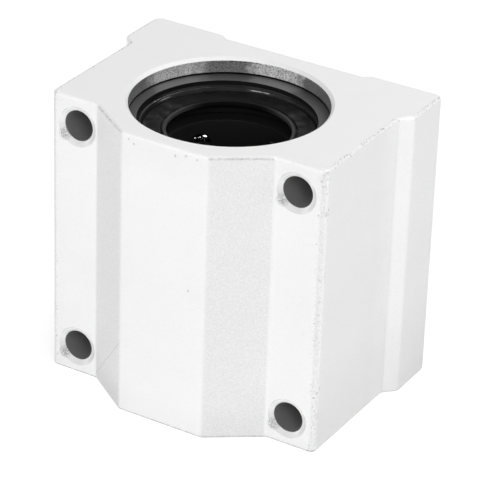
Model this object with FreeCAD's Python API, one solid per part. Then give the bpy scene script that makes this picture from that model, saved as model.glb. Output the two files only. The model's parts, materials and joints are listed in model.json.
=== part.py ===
import FreeCAD, Part
import math
import os

# Linear bearing block for a 20 mm shaft. An extruded aluminium housing holds a closed linear ball
# bearing between two internal circlips, and bolts down through four holes.
# Sizes are in millimetres. The origin is on the bore axis at mid length, +Z runs along the bore,
# +Y points out of the mounting face and -Y out of the crowned side.

# Housing: overall sizes
LENGTH = 50.0
FLANGE_WIDTH = 54.0
BODY_WIDTH = 50.0
MOUNT_HEIGHT = 21.0  # bore axis to the mounting face
CROWN_HEIGHT = 19.0  # bore axis to the flat of the crown
SHOULDER_HEIGHT = 13.0  # bore axis to the two shoulders

# Housing: extruded section
FLANGE_THICKNESS = 9.6
FLANGE_SLOPE = 2.0  # depth over which the flange tapers down to the body
CROWN_WIDTH = 15.6
CROWN_FOOT_WIDTH = 32.6
RELIEF_WIDTH = 28.0
RELIEF_SLOPE = 1.2
RELIEF_DEPTH = 1.0
FLANGE_BACK_RADIUS = 1.5
FLANGE_FRONT_RADIUS = 1.0
FLANGE_ROOT_RADIUS = 1.2
BODY_CORNER_RADIUS = 1.1
CROWN_FOOT_RADIUS = 0.6
CROWN_EDGE_RADIUS = 1.5
RELIEF_RADIUS = 0.6
END_EDGE_RADIUS = 0.5

# Housing: screw holes, tapped from the mounting face and drilled through to the shoulders
HOLE_SIDE_MARGIN = 5.0  # hole centre to the side of the body
HOLE_END_MARGIN = 5.0  # hole centre to an end face
DRILL_DIAMETER = 5.2
THREAD_DIAMETER = 6.0
THREAD_DEPTH = 12.0
COUNTERSINK_WIDTH = 0.8  # on the shoulders
COUNTERSINK_DEPTH = 0.45
TAP_CHAMFER = 0.4  # on the mounting face
DRILL_POINT_ANGLE = 118.0

# Housing: bearing seat
BORE_CHAMFER = 0.5
BEARING_RECESS = 4.0  # an end face to the end of the bearing
SLEEVE_FIT = 0.01  # radial clearance of the sleeve in its seat

# Circlips
CIRCLIP_THICKNESS = 1.2
CIRCLIP_GROOVE_DEPTH = 0.85
CIRCLIP_GROOVE_PLAY = 0.2
CIRCLIP_BACK_WIDTH = 3.5  # radial width opposite the gap
CIRCLIP_TIP_WIDTH = 1.55  # radial width that the taper reaches at the gap
CIRCLIP_LUG_RADIUS = 2.4
CIRCLIP_LUG_DEPTH = 5.4  # radial depth of a lug, from the rim
CIRCLIP_LUG_GAP = 3.2
CIRCLIP_HOLE_DIAMETER = 2.5
CIRCLIP_GAP_ANGLE = -76.0  # direction of the gap, from +X towards +Y

# Bearing: balls and shaft
SHAFT_DIAMETER = 20.0
BALL_DIAMETER = 3.175
BALL_PLAY = 0.01  # radial play between a loaded ball and its land
CIRCUITS = 5
FIRST_LOAD_ANGLE = 136.5
CIRCUIT_SPREAD = 22.0  # angle between the loaded row and the return row of one circuit
TURN_LIFT = 0.39  # how much further out the turns run than the loaded row
RETURN_LIFT = 0.79  # how much further out the return row runs than the loaded row
LIFT_LENGTH = 2.0  # length over which the track moves outwards, before and after a turn
BALL_SPACING = 0.02  # least gap from ball to ball

# Bearing: sleeve
SLEEVE_WALL = 1.985
RELIEF_PLAY = 0.04  # radial play of a return ball under the sleeve
LAND_ANGLE = 14.0
LAND_RAMP = 0.8
SLEEVE_EDGE_CHAMFER = 0.5
SLEEVE_MOUTH_CHAMFER = 0.25
RING_GROOVE_INSET = 5.75  # end of the sleeve to the ring groove outside
RING_GROOVE_WIDTH = 1.6
RING_GROOVE_DEPTH = 0.75

# Bearing: seals and the rings that hold the cage
SEAL_RECESS = 1.0
SEAL_THICKNESS = 2.5
SEAL_RIM = 1.2
SEAL_WEB = 1.3
LIP_WIDTH = 0.6
LIP_LAND = 0.6
LIP_GROOVE = 0.35
SEAL_EDGE = 0.15
CAGE_RING_THICKNESS = 0.8
CAGE_RING_DEPTH = 0.5  # how far the ring reaches into the sleeve
CAGE_RING_OVERLAP = 1.0  # how far the ring reaches inwards
CAGE_RING_GAP = 3.0

# Bearing: cage
CAGE_SHAFT_PLAY = 0.25
CAGE_SLEEVE_PLAY = 0.12
CAGE_LAND_PLAY = 0.1
CAGE_END_PLAY = 0.1
POCKET_PLAY = 0.08
POCKET_END_WALL = 1.2

# Cutting tools
OVERSHOOT = 1.0  # how far a tool runs past the face that it opens

# Places and radii worked out from the sizes above
HALF_LENGTH = LENGTH / 2
HOLE_X = BODY_WIDTH / 2 - HOLE_SIDE_MARGIN
HOLE_Z = HALF_LENGTH - HOLE_END_MARGIN
SLEEVE_END = HALF_LENGTH - BEARING_RECESS
SHAFT_RADIUS = SHAFT_DIAMETER / 2
BALL_RADIUS = BALL_DIAMETER / 2
LOAD_RADIUS = SHAFT_RADIUS + BALL_RADIUS
RETURN_RADIUS = LOAD_RADIUS + RETURN_LIFT
LAND_RADIUS = LOAD_RADIUS + BALL_RADIUS + BALL_PLAY
SLEEVE_BORE = RETURN_RADIUS + BALL_RADIUS + RELIEF_PLAY
SLEEVE_RADIUS = SLEEVE_BORE + SLEEVE_WALL
SEAT_RADIUS = SLEEVE_RADIUS + SLEEVE_FIT
GROOVE_RADIUS = SEAT_RADIUS + CIRCLIP_GROOVE_DEPTH
SEAL_FACE = SLEEVE_END - SEAL_RECESS
SEAL_BACK = SEAL_FACE - SEAL_THICKNESS
CAGE_RING_BACK = SEAL_BACK - CAGE_RING_THICKNESS
CAGE_END = CAGE_RING_BACK - CAGE_END_PLAY
CAGE_INSIDE = SHAFT_RADIUS + CAGE_SHAFT_PLAY
CAGE_OUTSIDE = SLEEVE_BORE - CAGE_SLEEVE_PLAY
POCKET_RADIUS = BALL_RADIUS + POCKET_PLAY

# One ball circuit in its own axes: u across the two rows, v outwards, z along the bore
HALF_SPREAD = math.radians(CIRCUIT_SPREAD / 2)
LOAD_U = LOAD_RADIUS * math.sin(HALF_SPREAD)
LOAD_V = LOAD_RADIUS * math.cos(HALF_SPREAD)
RETURN_U = -RETURN_RADIUS * math.sin(HALF_SPREAD)
RETURN_V = RETURN_RADIUS * math.cos(HALF_SPREAD)
TURN_U = (LOAD_U + RETURN_U) / 2
TURN_V = LOAD_V + TURN_LIFT
TURN_RADIUS = (LOAD_U - RETURN_U) / 2
TURN_TOP = CAGE_END - POCKET_END_WALL - POCKET_RADIUS
TURN_CENTRE = TURN_TOP - TURN_RADIUS
LOAD_END = TURN_CENTRE - LIFT_LENGTH

Z_AXIS = FreeCAD.Vector(0, 0, 1)
ORIGIN = FreeCAD.Vector(0, 0, 0)


def at(x, y, z=0.0):
    """A point or direction."""
    return FreeCAD.Vector(x, y, z)


def turned(shape, degrees):
    """A copy of the shape, turned round the bore axis."""
    copy = shape.copy()
    copy.rotate(ORIGIN, Z_AXIS, degrees)
    return copy


def flipped(shape):
    """A copy of the shape for the other end: a mirror image in the plane at mid length."""
    return shape.mirror(ORIGIN, Z_AXIS)


def rounded_wire(corners):
    """A closed wire in the XY plane through (x, y, radius) corners, each rounded by a tangent arc."""
    arcs = []
    for index, (x, y, radius) in enumerate(corners):
        before = at(*corners[index - 1][:2])
        here = at(x, y)
        after = at(*corners[(index + 1) % len(corners)][:2])
        back = (before - here).normalize()
        forward = (after - here).normalize()
        half_angle = back.getAngle(forward) / 2
        reach = radius / math.tan(half_angle)
        bisector = (back + forward).normalize()
        middle = here + bisector * (radius / math.sin(half_angle) - radius)
        arcs.append((here + back * reach, middle, here + forward * reach))
    edges = []
    for index, (start, middle, end) in enumerate(arcs):
        edges.append(Part.Arc(start, middle, end).toShape())
        edges.append(Part.makeLine(end, arcs[(index + 1) % len(arcs)][0]))
    return Part.Wire(edges)


def revolved(points, degrees=360.0):
    """The solid swept by a closed (radius, z) outline round the bore axis, starting at +X."""
    corners = [at(radius, 0, z) for radius, z in points]
    face = Part.Face(Part.makePolygon(corners + corners[:1]))
    return face.revolve(ORIGIN, Z_AXIS, degrees)


def both_ends(upper_half):
    """A (radius, z) outline from its half above mid length, closed by the mirrored half."""
    return upper_half + [(radius, -z) for radius, z in reversed(upper_half)]


def pipe(path, radius):
    """A round bar along a wire of tangent lines and arcs."""
    edge = path.OrderedEdges[0]
    start = edge.valueAt(edge.FirstParameter)
    direction = edge.tangentAt(edge.FirstParameter)
    section = Part.Wire(Part.makeCircle(radius, start, direction))
    return path.makePipeShell([section], True, False)


def section_corners():
    """The corners of the extruded section, with their radii, once round from the mounting face."""
    flange_front = MOUNT_HEIGHT - FLANGE_THICKNESS
    right_half = [
        (RELIEF_WIDTH / 2 - RELIEF_SLOPE, MOUNT_HEIGHT - RELIEF_DEPTH, RELIEF_RADIUS),
        (RELIEF_WIDTH / 2, MOUNT_HEIGHT, RELIEF_RADIUS),
        (FLANGE_WIDTH / 2, MOUNT_HEIGHT, FLANGE_BACK_RADIUS),
        (FLANGE_WIDTH / 2, flange_front, FLANGE_FRONT_RADIUS),
        (BODY_WIDTH / 2, flange_front - FLANGE_SLOPE, FLANGE_ROOT_RADIUS),
        (BODY_WIDTH / 2, -SHOULDER_HEIGHT, BODY_CORNER_RADIUS),
        (CROWN_FOOT_WIDTH / 2, -SHOULDER_HEIGHT, CROWN_FOOT_RADIUS),
        (CROWN_WIDTH / 2, -CROWN_HEIGHT, CROWN_EDGE_RADIUS),
    ]
    return right_half + [(-x, y, radius) for x, y, radius in reversed(right_half)]


def extrusion():
    """The sawn length of extrusion, with its end edges tumbled round."""
    outline = rounded_wire(section_corners())
    outline.translate(at(0, 0, -HALF_LENGTH))
    bar = Part.Face(outline).extrude(at(0, 0, LENGTH))
    end_edges = [edge for edge in bar.Edges if edge.BoundBox.ZLength < END_EDGE_RADIUS]
    return bar.makeFillet(END_EDGE_RADIUS, end_edges)


def bearing_seat():
    """The cutting tool for the bore, its two mouths and its two circlip grooves."""
    groove_far = SLEEVE_END + CIRCLIP_THICKNESS + CIRCLIP_GROOVE_PLAY
    mouth = HALF_LENGTH + OVERSHOOT
    upper_half = [
        (0, mouth),
        (SEAT_RADIUS + BORE_CHAMFER + OVERSHOOT, mouth),
        (SEAT_RADIUS, HALF_LENGTH - BORE_CHAMFER),
        (SEAT_RADIUS, groove_far),
        (GROOVE_RADIUS, groove_far),
        (GROOVE_RADIUS, SLEEVE_END),
        (SEAT_RADIUS, SLEEVE_END),
    ]
    return revolved(both_ends(upper_half))


def screw_hole():
    """The cutting tool for one screw hole, on the Z axis with the mounting face at z = 0."""
    drill = DRILL_DIAMETER / 2
    thread = THREAD_DIAMETER / 2
    depth = MOUNT_HEIGHT + SHOULDER_HEIGHT
    cone = (thread - drill) / math.tan(math.radians(DRILL_POINT_ANGLE / 2))
    flare = COUNTERSINK_WIDTH / COUNTERSINK_DEPTH
    outline = [
        (0, OVERSHOOT),
        (thread + TAP_CHAMFER + OVERSHOOT, OVERSHOOT),
        (thread, -TAP_CHAMFER),
        (thread, -THREAD_DEPTH),
        (drill, -THREAD_DEPTH - cone),
        (drill, COUNTERSINK_DEPTH - depth),
        (drill + COUNTERSINK_WIDTH + OVERSHOOT * flare, -depth - OVERSHOOT),
        (0, -depth - OVERSHOOT),
    ]
    return revolved(outline)


def housing():
    """The aluminium block: extrusion, bearing seat and four screw holes."""
    holes = []
    for side in (-1, 1):
        for end in (-1, 1):
            hole = screw_hole()
            hole.rotate(ORIGIN, at(1, 0, 0), -90)
            hole.translate(at(side * HOLE_X, MOUNT_HEIGHT, end * HOLE_Z))
            holes.append(hole)
    return extrusion().cut([bearing_seat()] + holes)


def circlip():
    """The upper circlip, tapered from its back to its two drilled lugs, seated in its groove."""
    inner_radius = GROOVE_RADIUS - (CIRCLIP_BACK_WIDTH + CIRCLIP_TIP_WIDTH) / 2
    offset = (CIRCLIP_BACK_WIDTH - CIRCLIP_TIP_WIDTH) / 2
    lug_reach = GROOVE_RADIUS - CIRCLIP_LUG_DEPTH + CIRCLIP_LUG_RADIUS
    lug_side = CIRCLIP_LUG_GAP / 2 + CIRCLIP_LUG_RADIUS
    lug_x = math.sqrt(lug_reach**2 - lug_side**2)
    rim = Part.makeCylinder(GROOVE_RADIUS, CIRCLIP_THICKNESS)
    ring = rim.cut(Part.makeCylinder(inner_radius, CIRCLIP_THICKNESS, at(offset, 0)))
    lugs = []
    holes = []
    for side in (-1, 1):
        centre = at(lug_x, side * lug_side)
        lug = Part.makeCylinder(CIRCLIP_LUG_RADIUS, CIRCLIP_THICKNESS, centre)
        neck_corner = centre - at(0, CIRCLIP_LUG_RADIUS)
        neck = Part.makeBox(GROOVE_RADIUS, 2 * CIRCLIP_LUG_RADIUS, CIRCLIP_THICKNESS, neck_corner)
        lugs += [lug, neck.common(rim)]
        holes.append(Part.makeCylinder(CIRCLIP_HOLE_DIAMETER / 2, CIRCLIP_THICKNESS, centre))
    gap_corner = at(0, -CIRCLIP_LUG_GAP / 2)
    gap = Part.makeBox(GROOVE_RADIUS + OVERSHOOT, CIRCLIP_LUG_GAP, CIRCLIP_THICKNESS, gap_corner)
    clip = ring.fuse(lugs).cut([gap] + holes).removeSplitter()
    clip.translate(at(0, 0, SLEEVE_END))
    return turned(clip, CIRCLIP_GAP_ANGLE)


def load_angles():
    """The angle of each loaded row round the bore."""
    return [FIRST_LOAD_ANGLE + 360.0 * index / CIRCUITS for index in range(CIRCUITS)]


def lands():
    """The raised tracks inside the sleeve that the loaded rows run on, ramped at both ends."""
    outside = SLEEVE_BORE + OVERSHOOT / 2
    upper_half = [
        (outside, LOAD_END),
        (SLEEVE_BORE, LOAD_END),
        (LAND_RADIUS, LOAD_END - LAND_RAMP),
    ]
    land = revolved(both_ends(upper_half), LAND_ANGLE)
    return [turned(land, angle - LAND_ANGLE / 2) for angle in load_angles()]


def sleeve():
    """The hardened outer sleeve, with two ring grooves outside, and lands and grooves inside."""
    groove_far = SLEEVE_END - RING_GROOVE_INSET
    groove_near = groove_far - RING_GROOVE_WIDTH
    groove_floor = SLEEVE_RADIUS - RING_GROOVE_DEPTH
    snap_radius = SLEEVE_BORE + CAGE_RING_DEPTH
    upper_half = [
        (SLEEVE_RADIUS, groove_near),
        (groove_floor, groove_near),
        (groove_floor, groove_far),
        (SLEEVE_RADIUS, groove_far),
        (SLEEVE_RADIUS, SLEEVE_END - SLEEVE_EDGE_CHAMFER),
        (SLEEVE_RADIUS - SLEEVE_EDGE_CHAMFER, SLEEVE_END),
        (SLEEVE_BORE + SLEEVE_MOUTH_CHAMFER, SLEEVE_END),
        (SLEEVE_BORE, SLEEVE_END - SLEEVE_MOUTH_CHAMFER),
        (SLEEVE_BORE, SEAL_BACK),
        (snap_radius, SEAL_BACK),
        (snap_radius, CAGE_RING_BACK),
        (SLEEVE_BORE, CAGE_RING_BACK),
    ]
    lower_half = [(radius, -z) for radius, z in reversed(upper_half)]
    tube = revolved(lower_half + upper_half)
    rim = Part.makeCylinder(groove_floor, 2 * LOAD_END, at(0, 0, -LOAD_END))
    return tube.fuse([land.common(rim) for land in lands()]).removeSplitter()


def cage_ring():
    """The upper split ring that snaps into the sleeve and holds the cage in."""
    outside = SLEEVE_BORE + CAGE_RING_DEPTH
    inside = SLEEVE_BORE - CAGE_RING_OVERLAP
    outline = [
        (inside, CAGE_RING_BACK),
        (outside, CAGE_RING_BACK),
        (outside, SEAL_BACK),
        (inside, SEAL_BACK),
    ]
    gap_corner = at(0, -CAGE_RING_GAP / 2, CAGE_RING_BACK)
    gap = Part.makeBox(outside + OVERSHOOT, CAGE_RING_GAP, CAGE_RING_THICKNESS, gap_corner)
    return revolved(outline).cut(gap)


def seal():
    """The upper rubber seal: a rim that grips the sleeve, a flat web and a lip on the shaft."""
    lip_outside = SHAFT_RADIUS + LIP_WIDTH
    groove_outside = lip_outside + LIP_GROOVE
    web_back = SEAL_FACE - SEAL_WEB
    rim_inside = SLEEVE_BORE - SEAL_RIM
    outline = [
        (SHAFT_RADIUS, SEAL_FACE - LIP_LAND),
        (SHAFT_RADIUS, SEAL_FACE),
        (lip_outside, SEAL_FACE),
        (lip_outside + LIP_GROOVE / 2, SEAL_FACE - LIP_GROOVE),
        (groove_outside, SEAL_FACE),
        (SLEEVE_BORE - SEAL_EDGE, SEAL_FACE),
        (SLEEVE_BORE, SEAL_FACE - SEAL_EDGE),
        (SLEEVE_BORE, SEAL_BACK),
        (rim_inside, SEAL_BACK),
        (rim_inside, web_back),
        (groove_outside, web_back),
    ]
    return revolved(outline)


def s_bend(start, end):
    """Two tangent arcs that move a track outwards, parallel to the bore at both their ends."""
    outwards = at(0, end.y - start.y)
    along = at(0, 0, end.z - start.z)
    bend = (along.Length**2 + outwards.Length**2) / (4 * outwards.Length)
    half_sweep = math.asin(along.Length / 2 / bend) / 2
    sag = outwards.normalize() * bend * (1 - math.cos(half_sweep))
    reach = along.normalize() * bend * math.sin(half_sweep)
    middle = (start + end) / 2
    first = Part.Arc(start, start + sag + reach, middle).toShape()
    second = Part.Arc(middle, end - sag - reach, end).toShape()
    return [first, second]


def ball_path():
    """The closed path of the ball centres in one circuit, in (u, v, z), from mid load row."""
    load_end = at(LOAD_U, LOAD_V, LOAD_END)
    turn_start = at(LOAD_U, TURN_V, TURN_CENTRE)
    turn_top = at(TURN_U, TURN_V, TURN_TOP)
    turn_end = at(RETURN_U, TURN_V, TURN_CENTRE)
    return_start = at(RETURN_U, RETURN_V, LOAD_END)
    upper_half = [
        Part.makeLine(at(LOAD_U, LOAD_V), load_end),
        *s_bend(load_end, turn_start),
        Part.Arc(turn_start, turn_top, turn_end).toShape(),
        *s_bend(turn_end, return_start),
        Part.makeLine(return_start, at(RETURN_U, RETURN_V)),
    ]
    lower_half = [flipped(edge) for edge in reversed(upper_half)]
    return Part.Wire(upper_half + lower_half)


def placed(shape, load_angle):
    """A circuit's shape moved from its (u, v, z) axes to its place round the bore."""
    return turned(shape, load_angle + CIRCUIT_SPREAD / 2 - 90)


def pocket():
    """The cutting tools for one circuit's track: round at the bottom and open to the outside."""
    height = CAGE_OUTSIDE + OVERSHOOT - LOAD_V
    outer = TURN_RADIUS + POCKET_RADIUS
    inner = TURN_RADIUS - POCKET_RADIUS
    slot = long_slot(outer, height).cut(long_slot(inner, height))
    return [pipe(ball_path(), POCKET_RADIUS), slot]


def long_slot(radius, height):
    """A round-ended block that runs outwards from the load row's depth, turn centre to turn centre."""
    corner = at(TURN_U - radius, LOAD_V, -TURN_CENTRE)
    block = Part.makeBox(2 * radius, height, 2 * TURN_CENTRE, corner)
    ends = []
    for end in (-1, 1):
        centre = at(TURN_U, LOAD_V, end * TURN_CENTRE)
        ends.append(Part.makeCylinder(radius, height, centre, at(0, 1, 0)))
    return block.fuse(ends)


def cage():
    """The resin cage: a tube with a channel over each land and five closed ball tracks."""
    tube = revolved(
        [
            (CAGE_INSIDE, -CAGE_END),
            (CAGE_OUTSIDE, -CAGE_END),
            (CAGE_OUTSIDE, CAGE_END),
            (CAGE_INSIDE, CAGE_END),
        ]
    )
    channel_angle = LAND_ANGLE + 2 * math.degrees(CAGE_LAND_PLAY / LAND_RADIUS)
    channel = revolved(
        [
            (LAND_RADIUS - CAGE_LAND_PLAY, -CAGE_END - OVERSHOOT),
            (CAGE_OUTSIDE + OVERSHOOT, -CAGE_END - OVERSHOOT),
            (CAGE_OUTSIDE + OVERSHOOT, CAGE_END + OVERSHOOT),
            (LAND_RADIUS - CAGE_LAND_PLAY, CAGE_END + OVERSHOOT),
        ],
        channel_angle,
    )
    tools = []
    for angle in load_angles():
        tools.append(turned(channel, angle - channel_angle / 2))
        tools += [placed(tool, angle) for tool in pocket()]
    return tube.cut(tools)


def ball_centres():
    """The ball centres of one full circuit, in (u, v, z), spread evenly along the path."""
    path = ball_path()
    points = path.discretize(Number=4000)
    pitch = BALL_DIAMETER + BALL_SPACING
    centres = spaced(points, pitch)
    wider = centres
    while len(wider) == len(centres):
        centres = wider
        pitch += 0.002
        wider = spaced(points, pitch)
    return centres


def spaced(points, pitch):
    """Points picked from a closed path so that each is at least one pitch from the last."""
    chosen = [points[0]]
    for point in points[1:]:
        if (point - chosen[-1]).Length >= pitch:
            chosen.append(point)
    if (chosen[-1] - points[0]).Length < pitch:
        chosen.pop()
    return chosen


def ball_rows():
    """One circuit's balls in three groups: the loaded row, the return row and the two turns."""
    rows = {"load_row": [], "return_row": [], "turn_balls": []}
    for centre in ball_centres():
        if abs(centre.z) > LOAD_END:
            name = "turn_balls"
        elif centre.x > TURN_U:
            name = "load_row"
        else:
            name = "return_row"
        rows[name].append(Part.makeSphere(BALL_RADIUS, centre))
    return {name: Part.makeCompound(balls) for name, balls in rows.items()}


def parts():
    """Every separate piece of the block, by name."""
    pieces = {
        "housing": housing(),
        "bearing_sleeve": sleeve(),
        "ball_cage": cage(),
    }
    for name, make in (("circlip", circlip), ("seal", seal), ("cage_ring", cage_ring)):
        upper = make()
        pieces["upper_" + name] = upper
        pieces["lower_" + name] = flipped(upper)
    rows = ball_rows()
    for number, angle in enumerate(load_angles(), start=1):
        for name, balls in rows.items():
            pieces[f"{name}_{number}"] = placed(balls, angle)
    return pieces


os.makedirs("parts", exist_ok=True)
for piece_name, shape in parts().items():
    shape.exportStep(f"parts/{piece_name}.step")
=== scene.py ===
"""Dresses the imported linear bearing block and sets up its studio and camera.

The block stands on its end: +Z runs along the shaft bore, +Y points out of the mounting face and
-Y out of the crowned side. All lengths are in metres.
"""

import json
import logging
import math
from dataclasses import dataclass
from enum import Enum
from functools import cache, cached_property, reduce
from typing import Callable, Iterable, NamedTuple, Union

import bmesh
import bpy
from bpy.types import Material, Node, NodeSocket, NodeTree, Object
from mathutils import Matrix, Vector

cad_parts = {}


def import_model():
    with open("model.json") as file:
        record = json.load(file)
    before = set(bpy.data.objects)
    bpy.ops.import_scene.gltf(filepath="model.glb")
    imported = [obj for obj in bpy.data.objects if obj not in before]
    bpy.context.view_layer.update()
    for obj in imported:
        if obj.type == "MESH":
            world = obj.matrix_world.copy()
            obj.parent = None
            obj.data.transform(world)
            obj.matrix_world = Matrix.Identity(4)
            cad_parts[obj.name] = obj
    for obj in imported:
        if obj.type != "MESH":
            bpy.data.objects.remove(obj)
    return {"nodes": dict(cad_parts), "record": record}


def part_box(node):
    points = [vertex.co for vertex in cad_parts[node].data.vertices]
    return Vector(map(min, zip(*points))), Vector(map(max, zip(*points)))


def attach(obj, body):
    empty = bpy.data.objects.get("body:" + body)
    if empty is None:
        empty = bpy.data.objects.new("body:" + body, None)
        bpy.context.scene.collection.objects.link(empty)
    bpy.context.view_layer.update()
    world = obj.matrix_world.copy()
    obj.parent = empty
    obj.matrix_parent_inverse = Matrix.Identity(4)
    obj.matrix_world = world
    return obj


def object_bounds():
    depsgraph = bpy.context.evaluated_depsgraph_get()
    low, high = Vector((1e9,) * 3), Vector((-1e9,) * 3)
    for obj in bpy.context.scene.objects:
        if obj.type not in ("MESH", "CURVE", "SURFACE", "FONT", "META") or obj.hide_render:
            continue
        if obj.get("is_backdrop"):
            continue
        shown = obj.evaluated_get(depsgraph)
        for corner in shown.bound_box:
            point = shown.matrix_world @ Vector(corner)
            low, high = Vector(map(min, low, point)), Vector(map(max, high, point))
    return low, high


MM = 0.001
ROOT = "root"

Value = Union[float, "Signal"]
Colour = tuple[float, float, float]
Feeds = dict[Union[str, int], object]
Nodes = dict[str, Object]

log = logging.getLogger("bearing_block")


class Op(Enum):
    """The arithmetic that a Math node does."""

    ADD = "ADD"
    SUBTRACT = "SUBTRACT"
    MULTIPLY = "MULTIPLY"
    DIVIDE = "DIVIDE"
    ABSOLUTE = "ABSOLUTE"
    ARCTAN2 = "ARCTAN2"
    MINIMUM = "MINIMUM"
    MAXIMUM = "MAXIMUM"
    ROOT = "SQRT"
    SIGN = "SIGN"
    LESS = "LESS_THAN"
    GREATER = "GREATER_THAN"


class Signal:
    """What a shader node puts out at each point, with the arithmetic on it where it is a number."""

    def __init__(self, graph: "Graph", socket: NodeSocket) -> None:
        """Keeps the graph and the socket.

        Args:
            graph: The graph that the signal belongs to.
            socket: The node's output.
        """
        self.graph = graph
        self.socket = socket

    def __add__(self, other: Value) -> "Signal":
        """The sum."""
        return self.graph.math(Op.ADD, self, other)

    def __radd__(self, other: float) -> "Signal":
        """The sum with a number that stands first."""
        return self.graph.math(Op.ADD, other, self)

    def __sub__(self, other: Value) -> "Signal":
        """The difference."""
        return self.graph.math(Op.SUBTRACT, self, other)

    def __rsub__(self, other: float) -> "Signal":
        """What is left of a number that stands first."""
        return self.graph.math(Op.SUBTRACT, other, self)

    def __mul__(self, other: Value) -> "Signal":
        """The product."""
        return self.graph.math(Op.MULTIPLY, self, other)

    def __truediv__(self, other: Value) -> "Signal":
        """The quotient."""
        return self.graph.math(Op.DIVIDE, self, other)

    def __rtruediv__(self, other: float) -> "Signal":
        """A number that stands first, divided by the signal."""
        return self.graph.math(Op.DIVIDE, other, self)

    def __lt__(self, limit: Value) -> "Signal":
        """A mask that is 1 below a limit."""
        return self.graph.math(Op.LESS, self, limit)

    def __gt__(self, limit: Value) -> "Signal":
        """A mask that is 1 above a limit."""
        return self.graph.math(Op.GREATER, self, limit)

    def __or__(self, other: "Signal") -> "Signal":
        """The larger of two signals, which joins two masks."""
        return self.graph.math(Op.MAXIMUM, self, other)

    def __invert__(self) -> "Signal":
        """What a mask leaves out."""
        return 1.0 - self

    def __abs__(self) -> "Signal":
        """The signal without its sign."""
        return self.graph.math(Op.ABSOLUTE, self)

    def ramp(self, low: Value, high: Value, start: Value = 0.0, end: Value = 1.0) -> "Signal":
        """Maps the signal smoothly from one range to another and holds it there beyond both ends.

        Args:
            low: The signal that gives start.
            high: The signal that gives end.
            start: The result at low.
            end: The result at high.

        Returns:
            The mapped signal.
        """
        feeds = dict(enumerate((self, low, high, start, end)))
        return self.graph.read("ShaderNodeMapRange", 0, feeds, interpolation_type="SMOOTHSTEP", clamp=True)

    def band(self, low: float, high: float, soft: float) -> "Signal":
        """A mask that is 1 between two bounds and fades over soft on both sides of each."""
        return self.ramp(low - soft, low + soft) * self.ramp(high + soft, high - soft)

    def sector(self, first: float, last: float, soft: float) -> "Signal":
        """The same as band for an angle, with the bounds in degrees."""
        return self.band(math.radians(first), math.radians(last), math.radians(soft))

    def pick(self, off: Value, on: Value) -> "Signal":
        """A value that goes from one to another as a mask goes from 0 to 1."""
        return self.ramp(0.0, 1.0, off, on)


class Graph:
    """Short calls that build one shader node tree."""

    def __init__(self, tree: NodeTree) -> None:
        """Keeps the tree.

        Args:
            tree: The node tree of a material, a world or a group.
        """
        self.tree = tree

    def feed(self, socket: NodeSocket, value: object) -> None:
        """Links a signal into an input, or sets the input to a constant.

        Args:
            socket: The input.
            value: A signal, number, vector or colour.
        """
        if isinstance(value, Signal):
            self.tree.links.new(value.socket, socket)
        else:
            socket.default_value = (*value, 1.0) if socket.type == "RGBA" else value

    def node(self, kind: str, feeds: Feeds, **settings: object) -> Node:
        """Adds a node.

        Args:
            kind: Its type, such as "ShaderNodeMath".
            feeds: What its inputs get, by their names or places.
            **settings: Its properties by name.

        Returns:
            The new node.
        """
        made = self.tree.nodes.new(kind)
        for name, value in settings.items():
            setattr(made, name, value)
        for key, value in feeds.items():
            self.feed(made.inputs[key], value)
        return made

    def read(self, kind: str, output: str | int, feeds: Feeds, **settings: object) -> Signal:
        """Adds a node as above and gives one of its outputs, by its name or place."""
        return Signal(self, self.node(kind, feeds, **settings).outputs[output])

    def math(self, op: Op, first: Value, second: Value = 0.0) -> Signal:
        """Combines two values, or works on the first where the arithmetic takes only one."""
        return self.read("ShaderNodeMath", 0, {0: first, 1: second}, operation=op.value)

    def blend(self, share: Value, first: Signal | Colour, second: Signal | Colour) -> Signal:
        """Mixes two colours, by the share of the second one."""
        return self.read("ShaderNodeMix", 2, {0: share, 6: first, 7: second}, data_type="RGBA")

    def shaded(self, colour: Signal | Colour, shade: Value) -> Signal:
        """A colour made brighter or darker by a factor."""
        return self.read("ShaderNodeVectorMath", 0, {0: colour, "Scale": shade}, operation="SCALE")


def hypotenuse(first: Signal, second: Signal) -> Signal:
    """The length whose two right-angled parts are given."""
    return first.graph.math(Op.ROOT, first * first + second * second)


class Fade(NamedTuple):
    """A smooth change of shade between two places or measures, with what it starts from and ends in."""

    low: float
    high: float
    start: float
    end: float


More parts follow.
